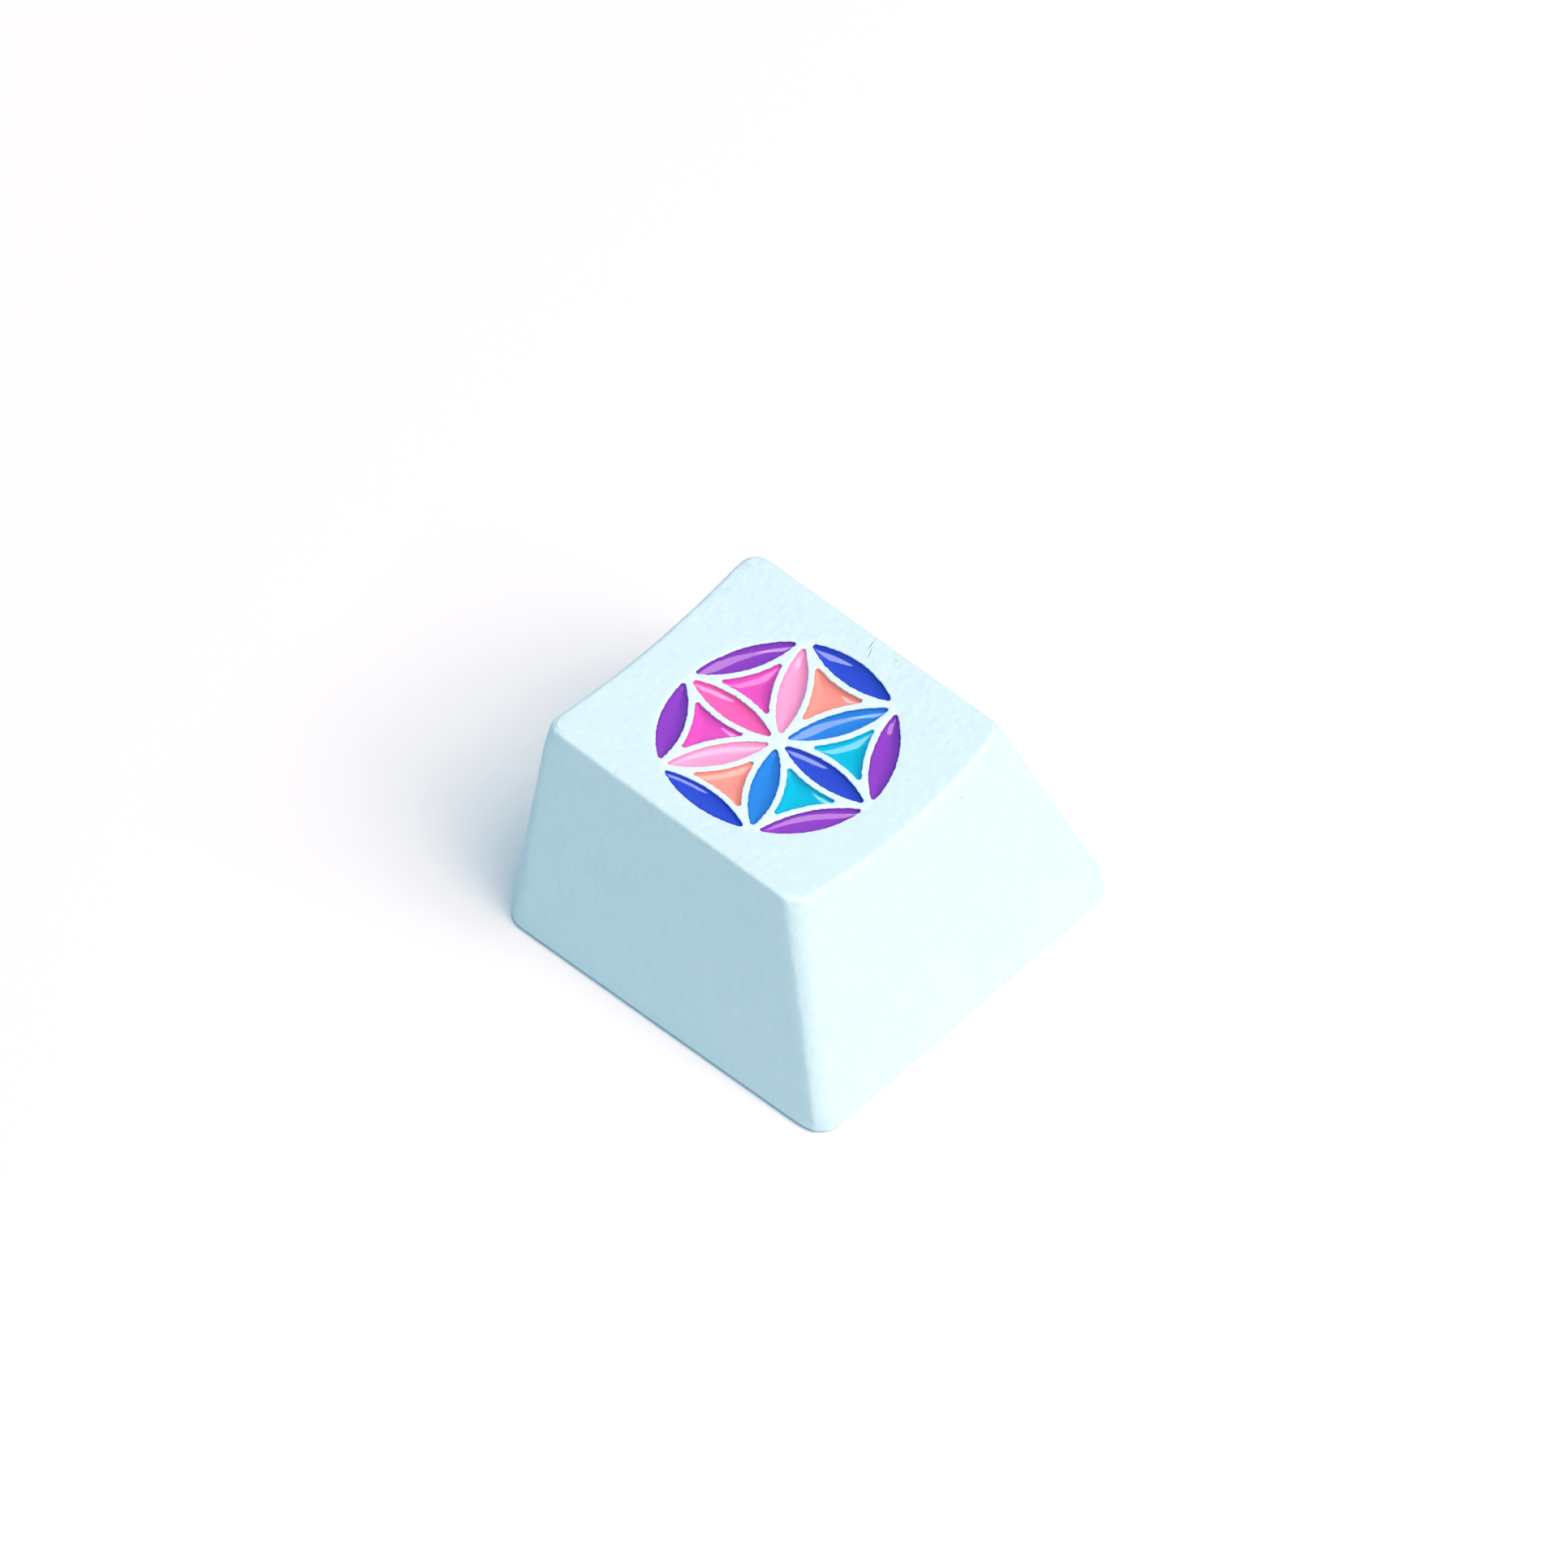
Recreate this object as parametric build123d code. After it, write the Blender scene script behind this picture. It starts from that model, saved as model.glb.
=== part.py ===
from build123d import *
import os
from math import cos, radians, sin, sqrt, tan

# An artisan keycap for a cross-stem key switch: one metal cap with a sculpted, dished top,
# a rosette of shallow pockets in the dish, and a pool of enamel in each pocket.
# Millimetres. Origin at the centre of the rim's plane, +Y away from the typist, +Z up.

# Outside of the cap
rim_width = 18.1            # across, at the rim
rim_depth = 18.1            # front to back, at the rim
cap_height = 10.13          # rim to the top's side edges, halfway back, before rounding
side_lean = 2.72            # how far each side wall leans in over the cap's height
front_lean = 3.82           # the same for the front wall
back_lean = 0.45            # the same for the back wall
corner_radius = 0.9         # upright corners
top_edge_radius = 0.28      # rounding around the dish
rim_edge_bevel = 0.15       # around the foot of the walls
top_tilt = 1.33             # degrees, the back edge stands higher
dish_sagitta = 0.78         # depth of the cylindrical dish across the top

# Hollow underside
wall = 1.0                  # walls, measured level
ceiling_height = 6.3        # rim to the ceiling of the hollow
hollow_corner_radius = 0.8  # upright inner corners

# Post with the cross socket
post_diameter = 5.5
post_recess = 0.6           # the post ends this far above the rim
cross_span = 4.1            # both arms, tip to tip
cross_arm_across = 1.3      # thickness of the arm that runs along X
cross_arm_along = 1.2       # thickness of the arm that runs along Y
cross_depth = 4.2
cross_lead_in = 0.15        # bevel at the socket's mouth

# Rosette of enamel cells
rosette_radius = 5.15       # pitch of the arcs that draw the rosette
rosette_y = 1.28            # its centre, behind the cap's centre
land_width = 0.28           # bare metal between neighbouring cells
cell_tip_radius = 0.11      # smallest rounding of a pocket's outline
pocket_depth = 0.7          # floor of the pockets, below the dish's lowest line
enamel_sink = 0.2           # how far the enamel lies below the dish

# Worked out from those
top_half_width = rim_width / 2 - side_lean
top_front = front_lean - rim_depth / 2
top_back = rim_depth / 2 - back_lean
top_middle = (top_front + top_back) / 2
tilt_slope = tan(radians(top_tilt))
dish_radius = (top_half_width ** 2 + dish_sagitta ** 2) / (2 * dish_sagitta)
dish_floor = cap_height - dish_sagitta + (rosette_y - top_middle) * tilt_slope
dish_place = Pos(0, rosette_y, dish_floor) * Rot(X=top_tilt)
stock_height = cap_height + dish_sagitta + rim_depth * tilt_slope
tool_length = 2 * (rim_depth + cap_height)
half_land = land_width / 2
petal_count = 6
sector = 360 / petal_count


def leaning_block(height, inset, radius):
    # Four flat leaning walls up to a height, the front view carried through the side view
    share = height / cap_height
    half = rim_width / 2 - inset
    half_above = half - share * side_lean
    front = inset - rim_depth / 2
    back = rim_depth / 2 - inset
    front_above = front + share * front_lean
    back_above = back - share * back_lean
    front_view = Polyline((-half, 0), (half, 0), (half_above, height), (-half_above, height), close=True)
    side_view = Polyline((front, 0), (back, 0), (back_above, height), (front_above, height), close=True)
    block = extrude(Plane.XZ * make_face(front_view.edges()), amount=tool_length, both=True)
    block &= extrude(Plane.YZ * make_face(side_view.edges()), amount=tool_length, both=True)
    level = block.edges().filter_by(Axis.X) + block.edges().filter_by(Axis.Y)
    upright = [edge for edge in block.edges() if edge not in level]
    return fillet(upright, radius)


def dish_cylinder(sink):
    # A cylinder along Y whose lowest line lies the given depth below the dish
    return Pos(0, 0, dish_radius) * Rot(X=90) * Cylinder(dish_radius + sink, tool_length)


def make_shell():
    # The outside, cut off by the dish, rounded around the top and bevelled around the rim
    shell = leaning_block(stock_height, 0, corner_radius) - dish_place * dish_cylinder(0)
    dish_face = shell.faces().filter_by(GeomType.CYLINDER).sort_by(SortBy.AREA)[-1]
    shell = fillet(dish_face.edges(), top_edge_radius)
    return chamfer(shell.faces().sort_by(Axis.Z)[0].edges(), rim_edge_bevel)


def make_post():
    # The round post, from its end up into the ceiling
    post = extrude(Circle(post_diameter / 2), amount=ceiling_height - post_recess)
    cross = Rectangle(cross_span, cross_arm_across) + Rectangle(cross_arm_along, cross_span)
    post -= extrude(cross, amount=cross_depth)
    mouth = post.faces().sort_by(Axis.Z)[0]
    post = chamfer(mouth.inner_wires().edges(), cross_lead_in)
    return Pos(0, 0, post_recess) * post


def polar(radius, angle):
    return (radius * cos(radians(angle)), radius * sin(radians(angle)))


def disc(distance, angle, radius):
    return Pos(*polar(distance, angle)) * Circle(radius)


def rounded(outline, radius):
    return offset(offset(outline, -radius), radius)


def petal_outline(angle):
    # Where two of the rosette's circles overlap, from the centre out to the pitch circle
    reach = rosette_radius - half_land
    return disc(rosette_radius, angle + sector, reach) & disc(rosette_radius, angle - sector, reach)


def border_outline(angle):
    # The same overlap turned sideways, between the pitch circle and a circle outside it
    reach = rosette_radius - half_land
    return disc(0, 0, reach) & disc(rosette_radius * sqrt(3), angle, reach)


def web_outline(angle):
    # The three-pointed space that two petals and a border cell leave between them
    reach = rosette_radius + half_land
    corners = [(0, 0), polar(rosette_radius, angle - sector / 2), polar(rosette_radius, angle + sector / 2)]
    web = make_face(Polyline(*corners, close=True).edges())
    for distance, turn in ((1, -90), (1, 90), (sqrt(3), 0)):
        web -= disc(rosette_radius * distance, angle + turn, reach)
    return web


def make_pocket(outline, sink):
    # From the flat pocket floor up to a given depth below the dish
    prism = extrude(outline, amount=pocket_depth + 2 * dish_sagitta)
    return Pos(0, 0, -pocket_depth) * prism - dish_cylinder(sink)


# Outlines of the cells, numbered round from the back
outlines = {}
for k in range(petal_count):
    angle = 90 + k * sector
    outlines[f"enamel_petal_{k + 1}"] = petal_outline(angle)
    outlines[f"enamel_border_{k + 1}"] = border_outline(angle + sector / 2)
    outlines[f"enamel_web_{k + 1}"] = web_outline(angle + sector / 2)
outlines = {name: rounded(outline, cell_tip_radius) for name, outline in outlines.items()}

cap_body = make_shell() - leaning_block(ceiling_height, wall, hollow_corner_radius) + make_post()
cap_body -= [dish_place * make_pocket(outline, 0) for outline in outlines.values()]

os.makedirs("parts", exist_ok=True)
export_step(cap_body, "parts/cap_body.step")
for name, outline in outlines.items():
    export_step(dish_place * make_pocket(outline, enamel_sink), f"parts/{name}.step")
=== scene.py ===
from math import asin, atan2, copysign, cos, pi, radians, sin, sqrt, tan
import bmesh
import bpy
from mathutils import Matrix, Vector, noise
from mathutils.geometry import delaunay_2d_cdt
from mathutils.kdtree import KDTree


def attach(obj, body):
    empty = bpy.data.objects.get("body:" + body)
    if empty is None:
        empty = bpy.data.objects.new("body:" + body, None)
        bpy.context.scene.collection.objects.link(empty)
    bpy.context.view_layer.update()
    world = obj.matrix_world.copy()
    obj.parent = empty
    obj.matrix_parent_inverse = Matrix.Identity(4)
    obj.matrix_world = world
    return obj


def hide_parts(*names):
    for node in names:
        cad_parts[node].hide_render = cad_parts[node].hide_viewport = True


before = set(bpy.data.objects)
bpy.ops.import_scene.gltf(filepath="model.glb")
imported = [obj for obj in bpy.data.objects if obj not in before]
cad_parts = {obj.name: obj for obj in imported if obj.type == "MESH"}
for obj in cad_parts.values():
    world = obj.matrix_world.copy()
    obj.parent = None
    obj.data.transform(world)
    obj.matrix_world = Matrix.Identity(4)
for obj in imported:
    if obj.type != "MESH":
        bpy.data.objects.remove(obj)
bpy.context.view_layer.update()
print("frame loaded:", len(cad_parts), "nodes")

mm = 0.001  # the sizes below are millimetres, the scene is in metres
upward, downward = Vector((0, 0, 1)), Vector((0, 0, -1))


class Wire:  # a socket of a node tree that takes part in sums
    def __init__(self, tree, socket=None):
        self.tree = tree
        self.socket = socket

    def node(self, kind, settings=None, inputs=None, out=0):  # any node, with its settings first
        made = self.tree.nodes.new(kind)
        for name, value in (settings or {}).items():
            if name == "stops":
                self.fillRamp(made.color_ramp, value)
            else:
                setattr(made, name, value)
        for name, value in (inputs or {}).items():
            if isinstance(value, Wire):
                self.tree.links.new(value.socket, made.inputs[name])
            else:
                made.inputs[name].default_value = value
        return Wire(self.tree, made.outputs[out] if len(made.outputs) else None)

    def fillRamp(self, ramp, stops):
        while len(ramp.elements) < len(stops):
            ramp.elements.new(1.0)
        for element, (place, colour) in zip(ramp.elements, stops):
            element.position = place
            element.color = colour

    def other(self, name):  # another output of the same node
        return Wire(self.tree, self.socket.node.outputs[name])

    def math(self, operation, *values, clamp=False):
        settings = {"operation": operation, "use_clamp": clamp}
        return self.node("ShaderNodeMath", settings, dict(enumerate(values)))

    def vector(self, operation, inputs, out=0):
        return self.node("ShaderNodeVectorMath", {"operation": operation}, inputs, out)

    def __add__(self, value):
        return self.math("ADD", self, value)

    def __radd__(self, value):
        return self.math("ADD", value, self)

    def __sub__(self, value):
        return self.math("SUBTRACT", self, value)

    def __rsub__(self, value):
        return self.math("SUBTRACT", value, self)

    def __mul__(self, value):
        return self.math("MULTIPLY", self, value)

    def __rmul__(self, value):
        return self.math("MULTIPLY", value, self)

    def __truediv__(self, value):
        return self.math("DIVIDE", self, value)

    def __rtruediv__(self, value):
        return self.math("DIVIDE", value, self)

    def __pow__(self, value):
        return self.math("POWER", self, value)

    def clamped(self):
        return self.math("ADD", self, 0.0, clamp=True)

    def blend(self, first, second):  # two colours by this factor
        settings = {"data_type": "RGBA"}
        return self.node("ShaderNodeMix", settings, {0: self, 6: first, 7: second}, 2)


# Shape of the cap, shared by its metal and its enamel
cap = {
    "rimWidth": 18.1,
    "rimDepth": 18.1,
    "height": 10.13,  # rim to the top's side edges, halfway back
    "sideLean": 2.87,
    "frontLean": 3.76,
    "backLean": 0.45,
    "frontOut": 0.09,  # the front wall stands this much proud
    "backWide": 0.09,  # the left wall spreads this much toward the back
    "corners": (  # radius at the rim and at the top, and how far out the side wall stands at each
        (1.5, 0.6, 0.09, 0.2),  # back right
        (1.5, 0.6, 0.09, 0.09),  # back left
        (0.95, 0.95, 0.14, 0.04),  # front left
        (0.75, 0.6, 0.0, 0.1),  # front right
    ),
    "hollowCorners": ((0.8, 0.8, 0.0, 0.0),) * 4,
    "dressSoft": 0.12,  # softness of the left wall's dressed edge
    "frontEdge": 0.36,  # rounding around the dish
    "sideEdge": 0.27,
    "backEdge": 0.3,
    "rimEdge": 0.12,  # rounding of the foot, in front and at the back
    "sideRimEdge": 0.3,
    "worn": (  # corners worn round: place, reach, depth
        ((-9.05, -9.14, 0.0), 1.6, 0.36),
        ((9.05, -9.14, 0.0), 1.7, 0.32),
        ((-6.18, -5.38, 10.05), 0.9, 0.14),
        ((-6.27, 8.6, 10.2), 1.3, 0.22),
        ((6.38, 8.6, 10.2), 1.3, 0.22),
    ),
    "dishHalf": 6.33,  # half the dish's width, where its sagitta is taken
    "dishFront": -5.23,
    "dishSagitta": 0.78,
    "tilt": 1.33,  # degrees
    "wall": 1.0,
    "ceiling": 6.3,
    "ceilingEdge": 0.4,
    "postDiameter": 5.5,
    "postRecess": 0.6,
    "postRoot": 0.3,
    "crossSpan": 4.1,
    "crossAcross": 1.3,
    "crossAlong": 1.2,
    "crossDepth": 4.2,
    "crossLeadIn": 0.15,
    "waver": 0.006,  # unevenness of the coat on the walls
    "edgeWaver": 0.015,  # and along the edges
    "waverScales": (0.8, 2.2, 5.5),  # on the walls, along the edges, and finer along the edges
    "waverShift": (7, 3, 5),
    "waverFine": 0.6,  # share of the finer one
    "cornerSteps": 24,
    "sideSteps": 60,
    "wallSteps": 90,
    "edgeSteps": 10,
    "postSteps": 72,
    "gridStep": 0.3,  # spacing of the points that carry the dish
    "crease": 20,  # degrees, past which an edge stays sharp
}
rosette = {
    "radius": 5.15,
    "centreY": 1.28,
    "land": 0.28,
    "tip": 0.11,
    "pocketDepth": 0.7,
    "pocketEdge": 0.05,  # rounding of the lands
    "edgeSteps": 4,
    "arcSteps": 110,
    "tipSteps": 9,
    "ragged": 0.026,  # unevenness of the pockets' edges
    "raggedScale": 5.0,
    "raggedFiner": 2.7,  # a second one, this many times finer
    "raggedFine": 0.5,  # and its share
}

dishBack = cap["rimDepth"] / 2 - cap["backLean"]
dishMiddle = (cap["dishFront"] + dishBack) / 2
dishRadius = (cap["dishHalf"] ** 2 + cap["dishSagitta"] ** 2) / (2 * cap["dishSagitta"])
dishRise = (rosette["centreY"] - dishMiddle) * tan(radians(cap["tilt"]))
dishPlace = Vector((0, rosette["centreY"], cap["height"] - cap["dishSagitta"] + dishRise))
dishMatrix = Matrix.Translation(dishPlace) @ Matrix.Rotation(radians(cap["tilt"]), 4, "X")
fromDish = dishMatrix.inverted()


def polar(distance, angle):
    return Vector((distance * cos(angle), distance * sin(angle)))


def arc(centre, radius, start, end, steps):  # the points of an arc, without its last one
    return [centre + polar(radius, start + (end - start) * k / steps) for k in range(steps)]


def lensOutline(grow):  # petals and border cells, long axis along X, drawn by four arcs
    reach = rosette["radius"] - rosette["land"] / 2
    away = rosette["radius"] * cos(radians(30))
    tipX = sqrt((reach - rosette["tip"]) ** 2 - away ** 2)
    turn = atan2(away, tipX)
    points = []
    for side in (1, -1):
        start = 0 if side == 1 else pi
        tipCentre = Vector((side * tipX, 0))
        arcCentre = Vector((0, -side * away))
        points += arc(tipCentre, rosette["tip"] + grow, start - turn, start + turn, rosette["tipSteps"])
        points += arc(arcCentre, reach + grow, start + turn, start + pi - turn, rosette["arcSteps"])
    return points


def webOutline(grow):  # three hollow sides between three rounded tips
    reach = rosette["radius"] + rosette["land"] / 2
    away = rosette["radius"] * 2 / sqrt(3)
    room = (reach + rosette["tip"]) ** 2
    tipAway = (away - sqrt(away ** 2 - 4 * (away ** 2 - room))) / 2
    spread = asin(tipAway * sin(pi / 3) / (reach + rosette["tip"]))
    points = []
    for k in range(3):
        facing = k * 2 * pi / 3
        arcCentre = polar(away, facing)
        tipCentre = polar(tipAway, facing + pi / 3)
        start, end = facing + pi + spread, facing + pi - spread
        points += arc(arcCentre, reach - grow, start, end, rosette["arcSteps"])
        start, end = facing - spread, facing + 2 * pi / 3 + spread
        points += arc(tipCentre, rosette["tip"] + grow, start, end, rosette["tipSteps"])
    return points


# Every cell: its outline, how far it is turned, and where its middle lies in the dish
cells = {}
for k in range(6):
    angle = radians(90 + 60 * k)
    between = angle + radians(30)
    size = rosette["radius"]
    cells[f"petal_{k + 1}"] = (lensOutline, angle, polar(size / 2, angle))
    cells[f"border_{k + 1}"] = (lensOutline, between + pi / 2, polar(size * cos(radians(30)), between))
    cells[f"web_{k + 1}"] = (webOutline, between, polar(size / sqrt(3), between))


def cellLoop(cell, grow):  # the outline in the dish, a little ragged
    outline, turn, place = cells[cell]
    spin = Matrix.Rotation(turn, 2)
    base = [spin @ point + place for point in outline(0.0)]
    loop = []
    for k, point in enumerate(outline(grow)):
        along = base[(k + 1) % len(base)] - base[k - 1]
        out = Vector((along.y, -along.x)).normalized()
        there = (base[k] * rosette["raggedScale"]).to_3d()
        fine = noise.noise(there * rosette["raggedFiner"])
        stray = rosette["ragged"] * (noise.noise(there) + rosette["raggedFine"] * fine)
        loop.append(spin @ point + place + out * stray)
    return loop


def dishHeight(x):  # of the dish over its lowest line
    return dishRadius - sqrt(dishRadius ** 2 - x ** 2)


def onDish(point, drop=0.0):  # a point of the flat rosette laid into the dish
    return dishMatrix @ Vector((point.x, point.y, dishHeight(point.x) - drop))


def flatOfDish(point):
    return (fromDish @ point).to_2d()


def onLevel(point):
    return point.to_3d()


def flatOfLevel(point):
    return point.to_2d()


def newObject(name, data):
    made = bpy.data.objects.new(name, data)
    bpy.context.scene.collection.objects.link(made)
    return made


def turnOutward(mesh, weld=None):  # merges doubles, turns the faces outward and counts the open edges
    work = bmesh.new()
    work.from_mesh(mesh)
    if weld:
        bmesh.ops.remove_doubles(work, verts=work.verts, dist=weld)
    bmesh.ops.recalc_face_normals(work, faces=work.faces)
    openEdges = sum(not edge.is_manifold for edge in work.edges)
    work.to_mesh(mesh)
    work.free()
    return openEdges


class Skin:  # gathers loops of points and the faces between them
    weld = 1e-8  # metres
    tolerance = 1e-7  # millimetres
    insideOnly = 1  # the fill keeps what its outlines hold

    def __init__(self):
        self.points = []
        self.faces = []

    def loop(self, points):
        first = len(self.points)
        self.points += [Vector(point) for point in points]
        return list(range(first, len(self.points)))

    def bridge(self, below, above):
        count = len(below)
        for k in range(count):
            after = (k + 1) % count
            self.faces.append((below[k], below[after], above[after], above[k]))

    def stack(self, loops):
        for below, above in zip(loops, loops[1:]):
            self.bridge(below, above)

    def fill(self, outer, holes, flat, lift, spare=()):  # faces between an outer loop and its holes
        loops = [outer, *holes]
        known = [index for loop in loops for index in loop]
        coords = [flat(self.points[index]) for index in known] + list(spare)
        outlines = []
        for loop in loops:
            start = sum(len(outline) for outline in outlines)
            outlines.append(list(range(start, start + len(loop))))
        made = delaunay_2d_cdt(coords, [], outlines, self.insideOnly, self.tolerance)
        corners, _, faces, cornerSources, _, faceSources = made
        place = {}
        for new, sources in enumerate(cornerSources):
            if sources and sources[0] < len(known):
                place[new] = known[sources[0]]
        for face, sources in zip(faces, faceSources):
            if sources != [0]:  # it lies in a hole
                continue
            for corner in face:
                if corner not in place:
                    place[corner] = self.loop([lift(corners[corner])])[0]
            self.faces.append(tuple(place[corner] for corner in face))

    def mesh(self, name):
        mesh = bpy.data.meshes.new(name)
        mesh.from_pydata([point * mm for point in self.points], [], self.faces)
        openEdges = turnOutward(mesh, self.weld)
        print(name, len(mesh.polygons), "faces,", openEdges, "open edges")
        return mesh


def roundEdge(corner, first, second, radius, steps, hollow=False):
    # points and normals of the rounding between two faces that meet at a corner
    side = -1 if hollow else 1
    centre = corner - side * radius * (first + second) / (1 + first.dot(second))
    axis = first.cross(second)
    total = first.angle(second)
    normals = [Matrix.Rotation(total * k / steps, 3, axis) @ first for k in range(steps + 1)]
    return [(centre + side * radius * normal, normal) for normal in normals]


def shares(steps, close=0.004):  # even shares with a close one at each end, which keeps the ends crisp
    return [close] + [k / steps for k in range(1, steps)] + [1 - close]


def waver(point, onEdge):
    wallScale, edgeScale, fineScale = cap["waverScales"]
    slow = noise.noise(point * wallScale)
    quick = noise.noise(point * edgeScale + Vector(cap["waverShift"]))
    quick += cap["waverFine"] * noise.noise(point * fineScale)
    return (cap["waver"] * slow + cap["edgeWaver"] * onEdge * quick) * min(1.0, point.z)


def wallColumns(inset, corners):
    # the straight lines up the walls: foot, head at full height, normal, and how far into a corner
    rimHalf = cap["rimWidth"] / 2 - inset
    topHalf = rimHalf - cap["sideLean"]
    depth = cap["rimDepth"] / 2 - inset
    facing = [Vector((1, 0, 0)), Vector((0, 1, 0)), Vector((-1, 0, 0)), Vector((0, -1, 0))]
    steps = cap["cornerSteps"]
    fans = []
    for turn, (rimRadius, topRadius, rimOut, topOut) in enumerate(corners):
        first, second = facing[turn], facing[(turn + 1) % 4]
        toward = first + second
        lean = cap["backLean"] if toward.y > 0 else cap["frontLean"]
        reach = depth if toward.y > 0 else depth + cap["frontOut"]
        foot = Vector((toward.x * (rimHalf + rimOut), toward.y * reach, 0))
        head = Vector((toward.x * (topHalf + topOut), toward.y * (reach - lean), cap["height"]))
        below = roundEdge(foot, first, second, rimRadius, steps)
        above = roundEdge(head, first, second, topRadius, steps)
        fans.append([(below[k][0], above[k][0], below[k][1], sin(pi * k / steps)) for k in range(steps + 1)])
    lines = []
    for turn in range(4):
        low, high, out = fans[turn][-1][:3]
        lowAfter, highAfter = fans[(turn + 1) % 4][0][:2]
        side = [(low.lerp(lowAfter, share), high.lerp(highAfter, share), out, 0.0)
                for share in shares(cap["sideSteps"])]
        for foot, head, out, inCorner in fans[turn] + side:
            slope = (head - foot).dot(out) / cap["height"]
            lines.append((foot, head, (out - Vector((0, 0, slope))).normalized(), inCorner))
    return lines


def meetDish(foot, head, low=0.5, high=1.3, halvings=40):
    # where a line up the wall comes through the dish, searched between two shares of its length
    for halving in range(halvings):
        middle = (low + high) / 2
        point = fromDish @ foot.lerp(head, middle)
        if point.z < dishHeight(point.x):
            low = middle
        else:
            high = middle
    return foot.lerp(head, low)


def dishNormal(point):
    local = fromDish @ point
    lean = local.x / dishRadius
    return dishMatrix.to_3x3() @ Vector((-lean, 0, sqrt(1 - lean ** 2)))


def dressed(point):  # brought back to the flat of the left wall
    limit = cap["rimWidth"] / 2 - cap["sideLean"] * point.z / cap["height"]
    limit += cap["backWide"] * (0.5 + point.y / cap["rimDepth"])
    near = max(0.0, 1 - abs(point.x + limit) / cap["dressSoft"])
    return Vector((max(point.x, -limit) + near ** 2 * cap["dressSoft"] / 4, point.y, point.z))


def worn(point):
    for place, reach, depth in cap["worn"]:
        near = max(0.0, 1 - (point - Vector(place)).length / reach)
        outward = Vector((copysign(1, place[0]), copysign(1, place[1]), 1 if place[2] else 0))
        point = point - outward.normalized() * depth * near ** 2
    return point


def outerWalls(skin):  # from the rounded rim up to the rounded edge of the dish
    steps = cap["edgeSteps"]
    rows = []
    for foot, head, normal, inCorner in wallColumns(0, cap["corners"]):
        crown = meetDish(foot, head)
        sideways = normal.to_2d().normalized().x ** 2
        rimRadius = cap["rimEdge"] + (cap["sideRimEdge"] - cap["rimEdge"]) * sideways
        rim = roundEdge(dressed(foot), downward, normal, rimRadius, steps)
        topRadius = cap["frontEdge"] if normal.y < 0 else cap["backEdge"]
        topRadius += (cap["sideEdge"] - topRadius) * sideways
        edge = roundEdge(crown, normal, dishNormal(crown), topRadius, steps)
        wall = [(rim[-1][0].lerp(edge[0][0], share), normal) for share in shares(cap["wallSteps"])]
        row = [point + out * waver(point, inCorner) for point, out in rim + wall]
        for k, (point, out) in enumerate(edge):  # the unevenness ends where the dish begins
            turned = k / steps
            onEdge = max(inCorner * (1 - turned), sin(pi * turned))
            row.append(point + out * waver(point, onEdge) * (1 - turned ** 4))
        row = [worn(dressed(point)) for point in row]
        row[-1] = onDish(flatOfDish(row[-1]))
        rows.append(row)
    loops = [skin.loop(points) for points in zip(*rows)]
    skin.stack(loops)
    return loops[0], loops[-1]


def gridPoints(skin, loops):  # spare points over the dish, clear of every outline
    tree = KDTree(sum(len(loop) for loop in loops))
    for loop in loops:
        for index in loop:
            tree.insert(flatOfDish(skin.points[index]).to_3d(), index)
    tree.balance()
    step = cap["gridStep"]
    reach = int(cap["rimWidth"] / 2 / step)
    spare = []
    for across in range(-reach, reach + 1):
        for along in range(-reach, reach + 1):
            point = Vector((across * step + (along % 2) * step / 2, along * step, 0))
            if tree.find(point)[2] > step / 2:
                spare.append(point.to_2d())
    return spare


def pockets(skin):  # rounded edge, wall and floor of every pocket
    edge, steps = rosette["pocketEdge"], rosette["edgeSteps"]
    sunk = dishMatrix.to_3x3() @ Vector((0, 0, rosette["pocketDepth"]))
    mouths = []
    for cell in cells:
        loops = []
        for k in range(steps + 1):
            turn = pi / 2 * k / steps
            points = cellLoop(cell, edge * (1 - sin(turn)))
            loops.append(skin.loop([onDish(point, edge * (1 - cos(turn))) for point in points]))
        loops.append(skin.loop([dishMatrix @ point.to_3d() - sunk for point in cellLoop(cell, 0)]))
        skin.stack(loops)
        skin.faces.append(tuple(loops[-1]))
        mouths.append(loops[0])
    return mouths


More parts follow.
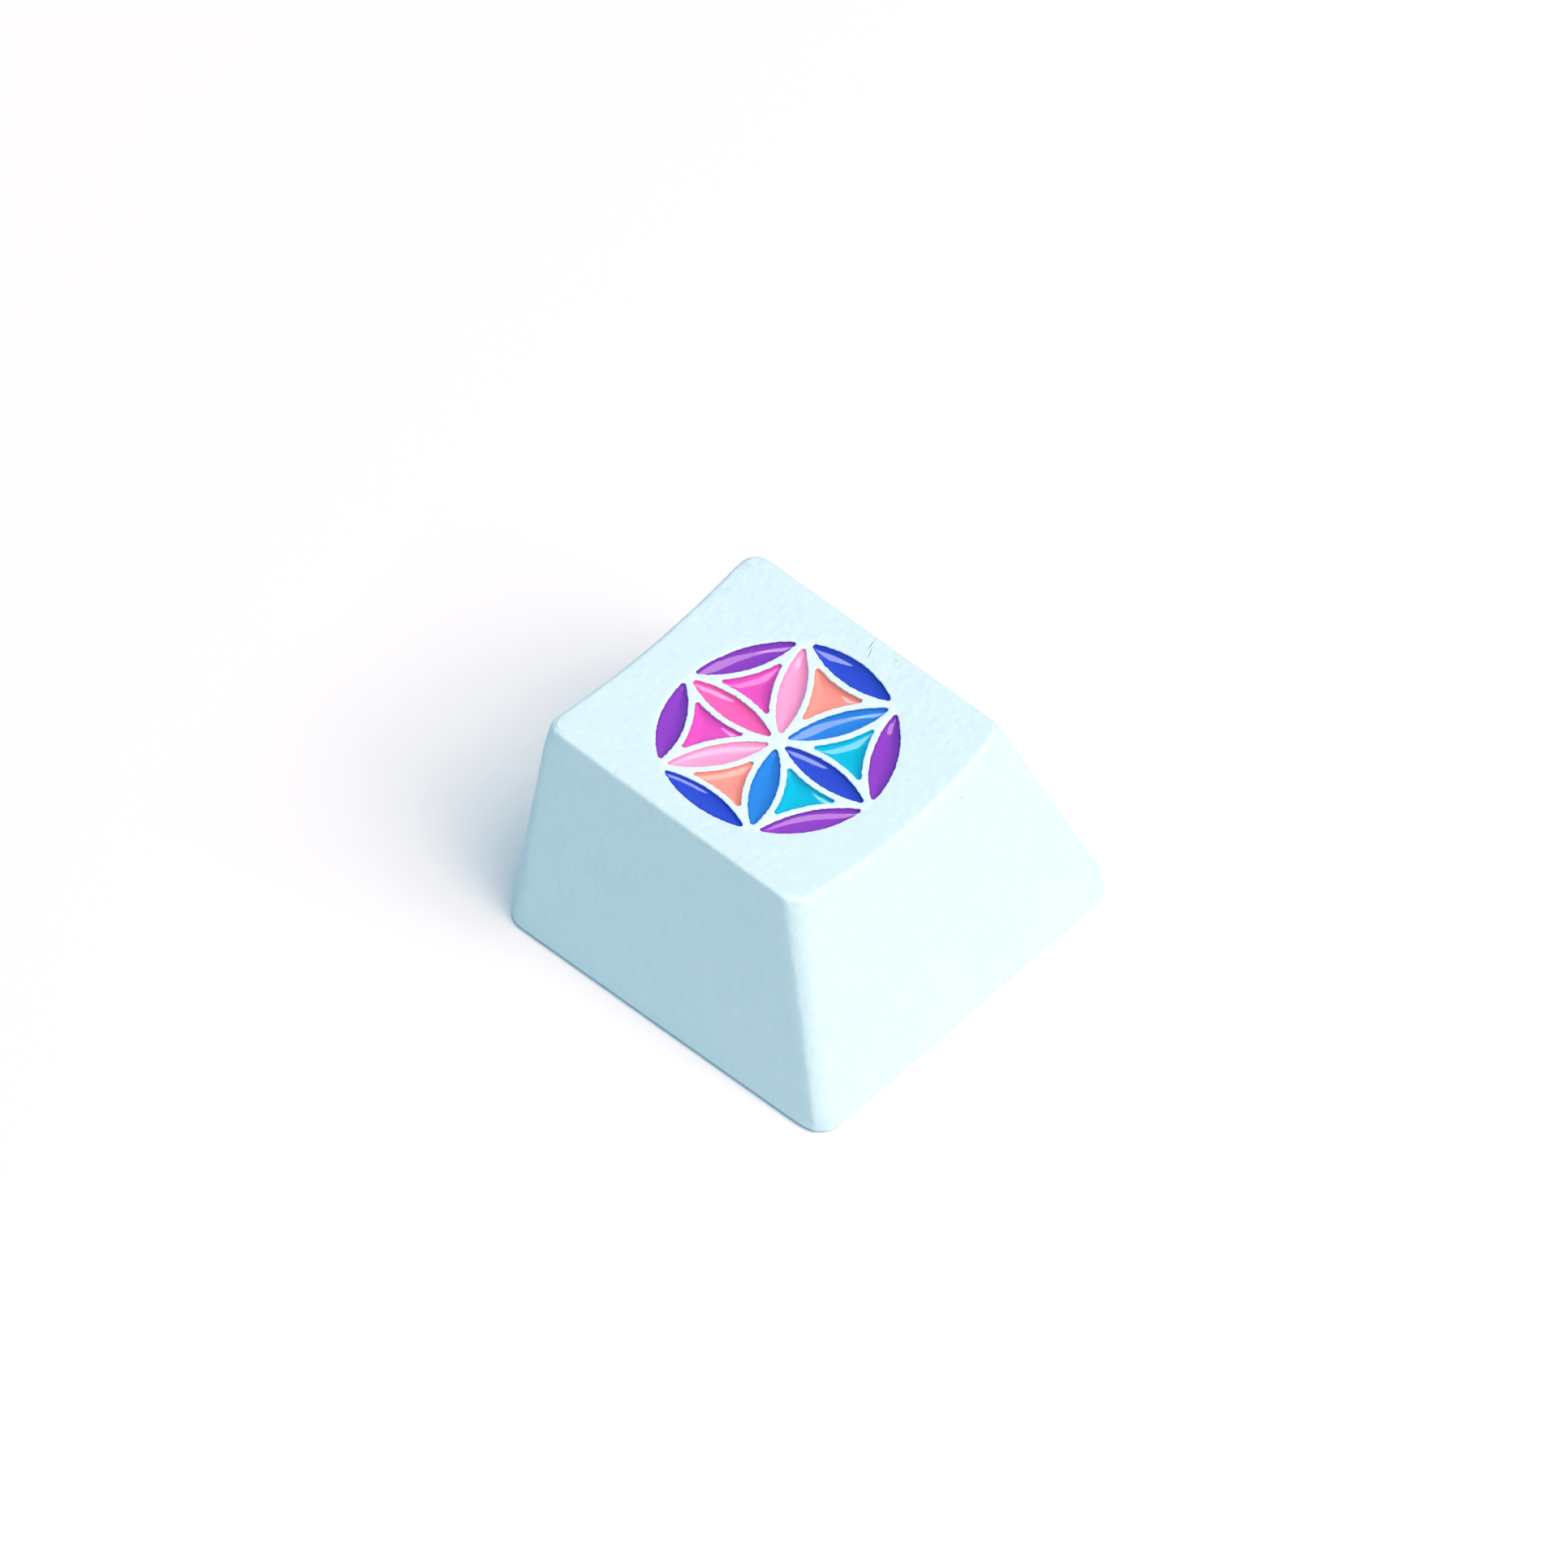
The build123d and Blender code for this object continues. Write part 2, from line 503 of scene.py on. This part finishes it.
def hollow(skin):  # inner walls, ceiling, and the post with its cross socket
    steps = cap["edgeSteps"]
    rows = []
    for foot, head, normal, inCorner in wallColumns(cap["wall"], cap["hollowCorners"]):
        top = foot.lerp(head, cap["ceiling"] / cap["height"])
        edge = roundEdge(top, -normal, downward, cap["ceilingEdge"], steps, hollow=True)
        rows.append([foot] + [point for point, out in edge])
    walls = [skin.loop(points) for points in zip(*rows)]
    skin.stack(walls)

    rows = []
    for k in range(cap["postSteps"]):
        out = polar(1, 2 * pi * k / cap["postSteps"]).to_3d()
        foot = out * cap["postDiameter"] / 2
        end = foot + Vector((0, 0, cap["postRecess"]))
        root = foot + Vector((0, 0, cap["ceiling"]))
        row = roundEdge(end, downward, out, cap["crossLeadIn"], steps)
        row += roundEdge(root, out, downward, cap["postRoot"], steps, hollow=True)
        rows.append([point for point, normal in row])
    post = [skin.loop(points) for points in zip(*rows)]
    skin.stack(post)
    skin.fill(walls[-1], [post[-1]], flatOfLevel, onLevel)

    socket = []
    for grow, height in ((cap["crossLeadIn"], 0), (0, cap["crossLeadIn"]), (0, cap["crossDepth"])):
        along = cap["crossSpan"] / 2 + grow
        thick = cap["crossAcross"] / 2 + grow
        thin = cap["crossAlong"] / 2 + grow
        half = [(along, -thick), (along, thick), (thin, thick), (thin, along), (-thin, along), (-thin, thick)]
        points = half + [(-x, -y) for x, y in half]
        socket.append(skin.loop([(x, y, cap["postRecess"] + height) for x, y in points]))
    skin.stack(socket)
    skin.faces.append(tuple(socket[-1]))
    skin.fill(post[0], [socket[0]], flatOfLevel, onLevel)
    return walls[0]


def asPiece(name, mesh, node, material, crease):
    mesh.set_sharp_from_angle(angle=radians(crease))
    for polygon in mesh.polygons:
        polygon.use_smooth = True
    mesh.materials.clear()
    mesh.materials.append(material)
    piece = newObject(name, mesh)
    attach(piece, "root")
    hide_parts(node)


def clearNodes(owner):
    owner.use_nodes = True
    owner.node_tree.nodes.clear()
    return Wire(owner.node_tree)


def newMaterial(name):
    material = bpy.data.materials.new(name)
    return material, clearNodes(material)


def noiseAt(place, scale, detail):
    return place.node("ShaderNodeTexNoise", None, {"Vector": place, "Scale": scale, "Detail": detail})


def toLinear(shade):  # display colour, 0 to 255, to scene-linear
    parts = [value / 255 for value in shade]
    return tuple(((p + 0.055) / 1.055) ** 2.4 if p > 0.04045 else p / 12.92 for p in parts) + (1.0,)


# Matte coat of the metal
coat = {
    "streak": (221, 246, 251),
    "shade": (201, 234, 242),
    "land": (222, 245, 250),  # the coat is paler and even round the rosette, within landReach of its middle
    "landReach": 5.2,
    "landFade": 0.2,
    "speck": (150, 172, 180),
    "roughness": 0.55,
    "roughSpread": 0.1,
    "cloudScale": 650,  # all scales per metre
    "cloudDetail": 2.0,
    "cloudShare": 0.35,  # the rest of the tone is streaks
    "streakScale": 3600,
    "streakDetail": 4.0,
    "streakStretch": (1.0, 1.0, 0.3),
    "peelScale": 2800,
    "peelDetail": 1.0,
    "peelDepth": 3.4e-5,  # metres
    "grainScale": 9000,
    "grainDetail": 2.0,
    "grainDepth": 0.3,  # in depths of the peel
    "speckScale": 620,
    "speckSize": 0.022,
    "speckFade": 1.5,  # in sizes of a speck
    "cleanShare": 0.94,  # of the cells that could hold a speck
    "nickDepth": 1.25,  # in depths of the peel
    "nickHeight": 0.4,
    "nicks": (  # place, turn, half length, half width, in millimetres and degrees
        ((5.9, 1.53, 10.0), 8, 0.36, 0.06),
        ((5.55, 1.3, 9.95), 20, 0.3, 0.05),
        ((5.93, 0.22, 10.0), -60, 0.16, 0.06),
    ),
}


def matteCoat():
    material, wire = newMaterial("matteCoat")
    place = wire.node("ShaderNodeTexCoord", out="Object")
    clouds = noiseAt(place, coat["cloudScale"], coat["cloudDetail"])
    drawn = wire.vector("MULTIPLY", {0: place, 1: coat["streakStretch"]})
    streaks = noiseAt(drawn, coat["streakScale"], coat["streakDetail"])
    peel = noiseAt(place, coat["peelScale"], coat["peelDetail"])
    grain = noiseAt(place, coat["grainScale"], coat["grainDetail"])

    dots = wire.node("ShaderNodeTexVoronoi", None, {"Vector": place, "Scale": coat["speckScale"]}, "Distance")
    chance = wire.node("ShaderNodeSeparateColor", None, {0: dots.other("Color")}, "Red")
    picked = chance.math("GREATER_THAN", chance, coat["cleanShare"])
    speck = (coat["speckFade"] - dots / coat["speckSize"]).clamped() * picked
    fromRosette = wire.vector("DISTANCE", {0: place, 1: dishPlace * mm}, "Value")
    land = ((coat["landReach"] - fromRosette / mm) / coat["landFade"]).clamped()
    mottle = coat["cloudShare"] * clouds + (1 - coat["cloudShare"]) * streaks
    tone = mottle.blend(toLinear(coat["streak"]), toLinear(coat["shade"]))
    tone = land.blend(tone, toLinear(coat["land"]))
    tone = speck.blend(tone, toLinear(coat["speck"]))

    height = peel + grain * coat["grainDepth"]
    for spot, turn, length, width in coat["nicks"]:
        size = (length * mm, width * mm, coat["nickHeight"] * mm)
        there = {"Location": Vector(spot) * mm, "Rotation": (0, 0, radians(turn)), "Scale": size}
        local = wire.node("ShaderNodeMapping", {"vector_type": "TEXTURE"}, {"Vector": place, **there})
        away = wire.vector("LENGTH", {0: local}, "Value")
        height = height - coat["nickDepth"] * (1 - away).clamped()
    bumpInputs = {"Height": height, "Distance": coat["peelDepth"], "Strength": 1.0}
    bump = wire.node("ShaderNodeBump", None, bumpInputs)
    rough = coat["roughness"] - coat["roughSpread"] / 2 + coat["roughSpread"] * peel
    inputs = {"Base Color": tone, "Roughness": rough, "Normal": bump}
    shader = wire.node("ShaderNodeBsdfPrincipled", None, inputs)
    wire.node("ShaderNodeOutputMaterial", None, {"Surface": shader})
    return material


# Enamel: the colours of the pools and where they go
enamel = {
    "sink": 0.3,  # the middle of a pool below its edge
    "rimDrop": 0.05,  # its edge below the lands
    "meniscus": 0.55,  # how far from the wall the surface still falls
    "evenReach": 0.06,  # how far in the ragged edge still shows in it
    "rows": 24,
    "rowPower": 1.7,  # gathers the rings near the wall
    "spineShare": 0.8,  # length of a petal's spine, of the petal's own
    "weld": 1e-7,  # metres
    "crease": 45,
    "roughness": 0.028,
    "roughSpread": 0.6,  # as a share of the roughness
    "ior": 1.5,
    "grainScale": 1400.0,
    "grainDetail": 3.0,
    "grainTone": 0.3,
    "paintedRimShade": 0.8,  # painted shade: the colour is darker near the pool's wall, standing in for the wall's shade
    "paintedShadeFade": 0.45,  # and full from this depth, 1 in the middle
    "colours": {
        "purple": (138, 62, 198),
        "magenta": (226, 84, 200),
        "hot_pink": (246, 104, 190),
        "light_pink": (252, 166, 214),
        "coral": (252, 158, 148),
        "royal_blue": (44, 78, 212),
        "sky_blue": (40, 136, 228),
        "cyan": (0, 190, 226),
    },
    "petal": ("hot_pink", "light_pink", "sky_blue", "royal_blue", "sky_blue", "light_pink"),
    "border": ("purple", "royal_blue", "purple", "purple", "royal_blue", "purple"),
    "web": ("magenta", "coral", "cyan", "cyan", "coral", "magenta"),
}


def glossEnamel(name, colour):
    material, wire = newMaterial(name)
    place = wire.node("ShaderNodeTexCoord", out="Object")
    depth = wire.node("ShaderNodeAttribute", {"attribute_name": "poolDepth"}, out="Fac")
    grain = noiseAt(place, enamel["grainScale"], enamel["grainDetail"])
    deep = toLinear(colour)
    # painted shade: each pool's colour darkens toward its wall, where the pocket wall shades it
    rim = tuple(value * enamel["paintedRimShade"] for value in deep[:3]) + (1.0,)
    stops = {"stops": ((0.0, rim), (enamel["paintedShadeFade"], deep))}
    tone = wire.node("ShaderNodeValToRGB", stops, {"Fac": depth + (grain - 0.5) * enamel["grainTone"]})
    rough = enamel["roughness"] * (1 - enamel["roughSpread"] / 2 + grain * enamel["roughSpread"])
    inputs = {"Base Color": tone, "Roughness": rough, "IOR": enamel["ior"]}
    shader = wire.node("ShaderNodeBsdfPrincipled", None, inputs)
    wire.node("ShaderNodeOutputMaterial", None, {"Surface": shader})
    return material


poolInputs = {  # name of each input of the tree, its kind, and its value where all pools share it
    "Outline": ("NodeSocketGeometry", None),
    "Rows": ("NodeSocketInt", enamel["rows"]),
    "Sink": ("NodeSocketFloat", enamel["sink"]),
    "Rim Drop": ("NodeSocketFloat", enamel["rimDrop"]),
    "Meniscus": ("NodeSocketFloat", enamel["meniscus"]),
    "Even Reach": ("NodeSocketFloat", enamel["evenReach"]),
    "Pocket Depth": ("NodeSocketFloat", rosette["pocketDepth"]),
    "Dish Radius": ("NodeSocketFloat", dishRadius),
    "Dish Tilt": ("NodeSocketFloat", radians(cap["tilt"])),
    "Dish Place": ("NodeSocketVector", tuple(dishPlace)),
    "Finish": ("NodeSocketMaterial", None),
}


def poolTree():  # rings from the pocket's outline to the spine of the pool, sunk and laid into the dish
    tree = bpy.data.node_groups.new("enamelPool", "GeometryNodeTree")
    for name, (kind, value) in poolInputs.items():
        tree.interface.new_socket(name, in_out="INPUT", socket_type=kind)
    tree.interface.new_socket("Pool", in_out="OUTPUT", socket_type="NodeSocketGeometry")
    wire = Wire(tree)
    given = wire.node("NodeGroupInput")
    want = {name: given.other(name) for name in poolInputs}
    outline = want["Outline"]
    ofMesh = {"component": "MESH"}
    ofVectors = {"data_type": "FLOAT_VECTOR"}

    # a grid with a row for each ring, and a column for each point of the outline and the first again
    count = wire.node("GeometryNodeAttributeDomainSize", ofMesh, {"Geometry": outline}, "Point Count")
    columns = count + 1
    sizes = {"Size X": 1.0, "Size Y": 1.0, "Vertices X": want["Rows"] + 3, "Vertices Y": columns}
    grid = wire.node("GeometryNodeMeshGrid", None, sizes, "Mesh")
    index = wire.node("GeometryNodeInputIndex")
    row = (index + 0.5) / columns
    row = row.math("FLOOR", row)
    column = index - row * columns
    column = column.math("MODULO", column, count)

    # the two lowest rows close the pool underneath
    share = ((row - 2) / want["Rows"]).clamped() ** enamel["rowPower"]
    onTop = row.math("GREATER_THAN", row, 1.5)
    isFirst = row.math("LESS_THAN", row, 0.5)
    share = share.math("MAXIMUM", share, isFirst)

    def stored(name):
        return wire.node("GeometryNodeInputNamedAttribute", ofVectors, {"Name": name})

    def atColumn(value):
        inputs = {"Geometry": outline, "Value": value, "Index": column}
        return wire.node("GeometryNodeSampleIndex", ofVectors, inputs)

    def distanceTo(line):
        inputs = {0: line, "Sample Position": flat}
        return wire.node("GeometryNodeProximity", {"target_element": "EDGES"}, inputs, "Distance")

    edge = atColumn(wire.node("GeometryNodeInputPosition"))
    middle = atColumn(stored("spine"))
    flat = wire.node("ShaderNodeMix", {"data_type": "VECTOR"}, {0: share, 4: edge, 5: middle}, 1)
    evenInputs = {"Geometry": outline, "Position": stored("even")}
    evenLine = wire.node("GeometryNodeSetPosition", None, evenInputs)
    away = distanceTo(outline)
    away = away + (distanceTo(evenLine) - away) * (away / want["Even Reach"]).clamped()
    near = 1 - (away / want["Meniscus"]).clamped()
    bowl = 1 - near * near
    depth = bowl.math("SQRT", bowl)

    parts = wire.node("ShaderNodeSeparateXYZ", None, {0: flat})
    laidX, laidY = parts.other("X"), parts.other("Y")
    bend = want["Dish Radius"] * want["Dish Radius"] - laidX * laidX
    rise = want["Dish Radius"] - bend.math("SQRT", bend)
    top = rise - want["Rim Drop"] - want["Sink"] * depth
    height = onTop * top - (1 - onTop) * want["Pocket Depth"]
    local = wire.node("ShaderNodeCombineXYZ", None, {"X": laidX, "Y": laidY, "Z": height})
    tiltBy = {"Vector": local, "Angle": want["Dish Tilt"]}
    tilted = wire.node("ShaderNodeVectorRotate", {"rotation_type": "X_AXIS"}, tiltBy)
    there = wire.vector("ADD", {0: tilted, 1: want["Dish Place"]})
    metres = wire.vector("SCALE", {0: there, "Scale": mm})

    onPoints = {"data_type": "FLOAT", "domain": "POINT"}
    kept = {"Geometry": grid, "Name": "poolDepth", "Value": depth}
    pool = wire.node("GeometryNodeStoreNamedAttribute", onPoints, kept)
    pool = wire.node("GeometryNodeSetPosition", None, {"Geometry": pool, "Position": metres})
    pool = wire.node("GeometryNodeMergeByDistance", None, {"Geometry": pool, "Distance": enamel["weld"]})
    pool = wire.node("GeometryNodeRealizeInstances", None, {"Geometry": pool})
    pool = wire.node("GeometryNodeSetMaterial", None, {"Geometry": pool, "Material": want["Finish"]})
    wire.node("NodeGroupOutput", None, {"Pool": pool})
    return tree


def outlineMesh(cell):
    # the pocket's outline as a closed line, with its even form and the spine that its rings shrink to
    outline, turn, place = cells[cell]
    spin = Matrix.Rotation(turn, 2)
    points = [point.to_3d() for point in cellLoop(cell, 0.0)]
    count = len(points)
    mesh = bpy.data.meshes.new(f"outline_{cell}")
    mesh.from_pydata(points, [(k, (k + 1) % count) for k in range(count)], [])
    spine = mesh.attributes.new("spine", "FLOAT_VECTOR", "POINT")
    even = mesh.attributes.new("even", "FLOAT_VECTOR", "POINT")
    for k, point in enumerate(outline(0.0)):
        along = point.x * enamel["spineShare"] if outline is lensOutline else 0.0
        spine.data[k].vector = (spin @ Vector((along, 0)) + place).to_3d()
        even.data[k].vector = (spin @ point + place).to_3d()
    return mesh


def pourPool(tree, cell, material):
    holder = newObject(f"outline_{cell}", outlineMesh(cell))
    modifier = holder.modifiers.new("pool", "NODES")
    modifier.node_group = tree
    for item in tree.interface.items_tree:
        if item.in_out == "INPUT" and item.name != "Outline":
            modifier[item.identifier] = material if item.name == "Finish" else poolInputs[item.name][1]
    shown = holder.evaluated_get(bpy.context.evaluated_depsgraph_get())
    mesh = bpy.data.meshes.new_from_object(shown)
    holder.modifiers.remove(modifier)
    bpy.data.objects.remove(holder)
    openEdges = turnOutward(mesh)
    if openEdges:
        print(cell, openEdges, "open edges")
    return mesh


# The metal
skin = Skin()
foot, crown = outerWalls(skin)
mouths = pockets(skin)
skin.fill(crown, mouths, flatOfDish, onDish, gridPoints(skin, [crown, *mouths]))
rimLine = hollow(skin)
skin.fill(foot, [rimLine], flatOfLevel, onLevel)
asPiece("capMetal", skin.mesh("capMetal"), "cap_body", matteCoat(), cap["crease"])
print("metal done")

# The enamel
finishes = {name: glossEnamel("enamel_" + name, colour) for name, colour in enamel["colours"].items()}
tree = poolTree()
for cell in cells:
    kind, number = cell.split("_")
    colour = enamel[kind][int(number) - 1]
    mesh = pourPool(tree, cell, finishes[colour])
    asPiece("pool_" + cell, mesh, "enamel_" + cell, finishes[colour], enamel["crease"])
print("enamel done:", len(cells), "pools")


# Floor, light and camera, with directions in degrees, 0 along +X
studio = {
    "floorHalf": 3.0,  # metres
    "floorColour": (0.9, 0.915, 0.93, 1.0),
    "floorGlow": 0.035,
    "skyColour": (0.1, 0.69, 1.0, 1.0),
    "skyStrength": 0.39,
    "white": (1.0, 1.0, 1.0, 1.0),  # what is seen beyond the floor
    "whiteGloss": 0.15,  # how much of it shows in gloss
    "lampDistance": 1.3,
    "lamps": {  # sizes in metres, level and upright
        "softbox": {
            "power": 27.3,
            "colour": (1.0, 0.735, 0.62),
            "size": (0.9, 1.58),
            "azimuth": -75.0,
            "elevation": 60.5,
            "diffuse": True,
        },
        "glint": {  # only the gloss of the enamel shows it
            "power": 16.0,
            "colour": (0.9, 0.95, 1.0),
            "size": (0.8, 0.8),
            "azimuth": 173.0,
            "elevation": 62.0,
            "diffuse": False,
        },
    },
}
view = {
    "azimuth": -135.237,
    "elevation": 50.623,
    "roll": -2.478,
    "distance": 720.0,  # millimetres
    "aimHeight": 4.0,
    "across": -0.839,
    "up": 2.272,
    "focal": 21576.7,  # in pixels of the frame
    "frame": 1932,
    "sensor": 36.0,
    "clip": (0.01, 20.0),  # metres
}


def axesFrom(azimuth, elevation):  # of something that faces the cap from there: level, rising, back
    azimuth, elevation = radians(azimuth), radians(elevation)
    back = Vector((cos(azimuth) * cos(elevation), sin(azimuth) * cos(elevation), sin(elevation)))
    level = upward.cross(back).normalized()
    return level, back.cross(level), back


def setAt(place, axes):
    return Matrix.Translation(place) @ Matrix(axes).transposed().to_4x4()


def seenBy(wire, gloss):  # 1 for what the camera sees, also through glass and, by a share, in gloss
    path = wire.node("ShaderNodeLightPath", out="Is Camera Ray")
    return (path + path.other("Is Glossy Ray") * gloss + path.other("Is Transmission Ray")).clamped()


def layFloor():
    half = studio["floorHalf"]
    corners = [(-half, -half, 0), (half, -half, 0), (half, half, 0), (-half, half, 0)]
    mesh = bpy.data.meshes.new("floor")
    mesh.from_pydata(corners, [], [(0, 1, 2, 3)])
    floor = newObject("floor", mesh)
    material, wire = newMaterial("paleFloor")
    matte = wire.node("ShaderNodeBsdfDiffuse", None, {"Color": studio["floorColour"]})
    glow = wire.node("ShaderNodeEmission", None, {"Strength": seenBy(wire, 1.0) * studio["floorGlow"]})
    both = wire.node("ShaderNodeAddShader", None, {0: matte, 1: glow})
    wire.node("ShaderNodeOutputMaterial", None, {"Surface": both})
    mesh.materials.append(material)


def hangLamps():
    for name, lamp in studio["lamps"].items():
        light = bpy.data.lights.new(name, "AREA")
        light.shape = "RECTANGLE"
        light.size, light.size_y = lamp["size"]
        light.energy = lamp["power"]
        light.color = lamp["colour"]
        holder = newObject(name, light)
        holder.visible_diffuse = lamp["diffuse"]
        level, rising, back = axesFrom(lamp["azimuth"], lamp["elevation"])
        holder.matrix_world = setAt(back * studio["lampDistance"], (level, rising, back))


def lightWorld():
    world = bpy.data.worlds.new("studio")
    bpy.context.scene.world = world
    wire = clearNodes(world)
    skyInputs = {"Color": studio["skyColour"], "Strength": studio["skyStrength"]}
    sky = wire.node("ShaderNodeBackground", None, skyInputs)
    white = wire.node("ShaderNodeBackground", None, {"Color": studio["white"], "Strength": 1.0})
    seen = seenBy(wire, studio["whiteGloss"])
    both = wire.node("ShaderNodeMixShader", None, {0: seen, 1: sky, 2: white})
    wire.node("ShaderNodeOutputWorld", None, {"Surface": both})


def setCamera():
    level, rising, back = axesFrom(view["azimuth"], view["elevation"])
    roll = radians(view["roll"])
    right = level * cos(roll) + rising * sin(roll)
    up = rising * cos(roll) - level * sin(roll)
    aim = Vector((0, 0, view["aimHeight"]))
    place = aim + back * view["distance"] + right * view["across"] + up * view["up"]
    lens = bpy.data.cameras.new("camera")
    lens.sensor_width = view["sensor"]
    lens.lens = view["sensor"] * view["focal"] / view["frame"]
    lens.clip_start, lens.clip_end = view["clip"]
    camera = newObject("camera", lens)
    camera.matrix_world = setAt(place * mm, (right, up, back))
    bpy.context.scene.camera = camera


layFloor()
hangLamps()
lightWorld()
setCamera()
bpy.context.scene.view_settings.view_transform = "Standard"
print("studio set")
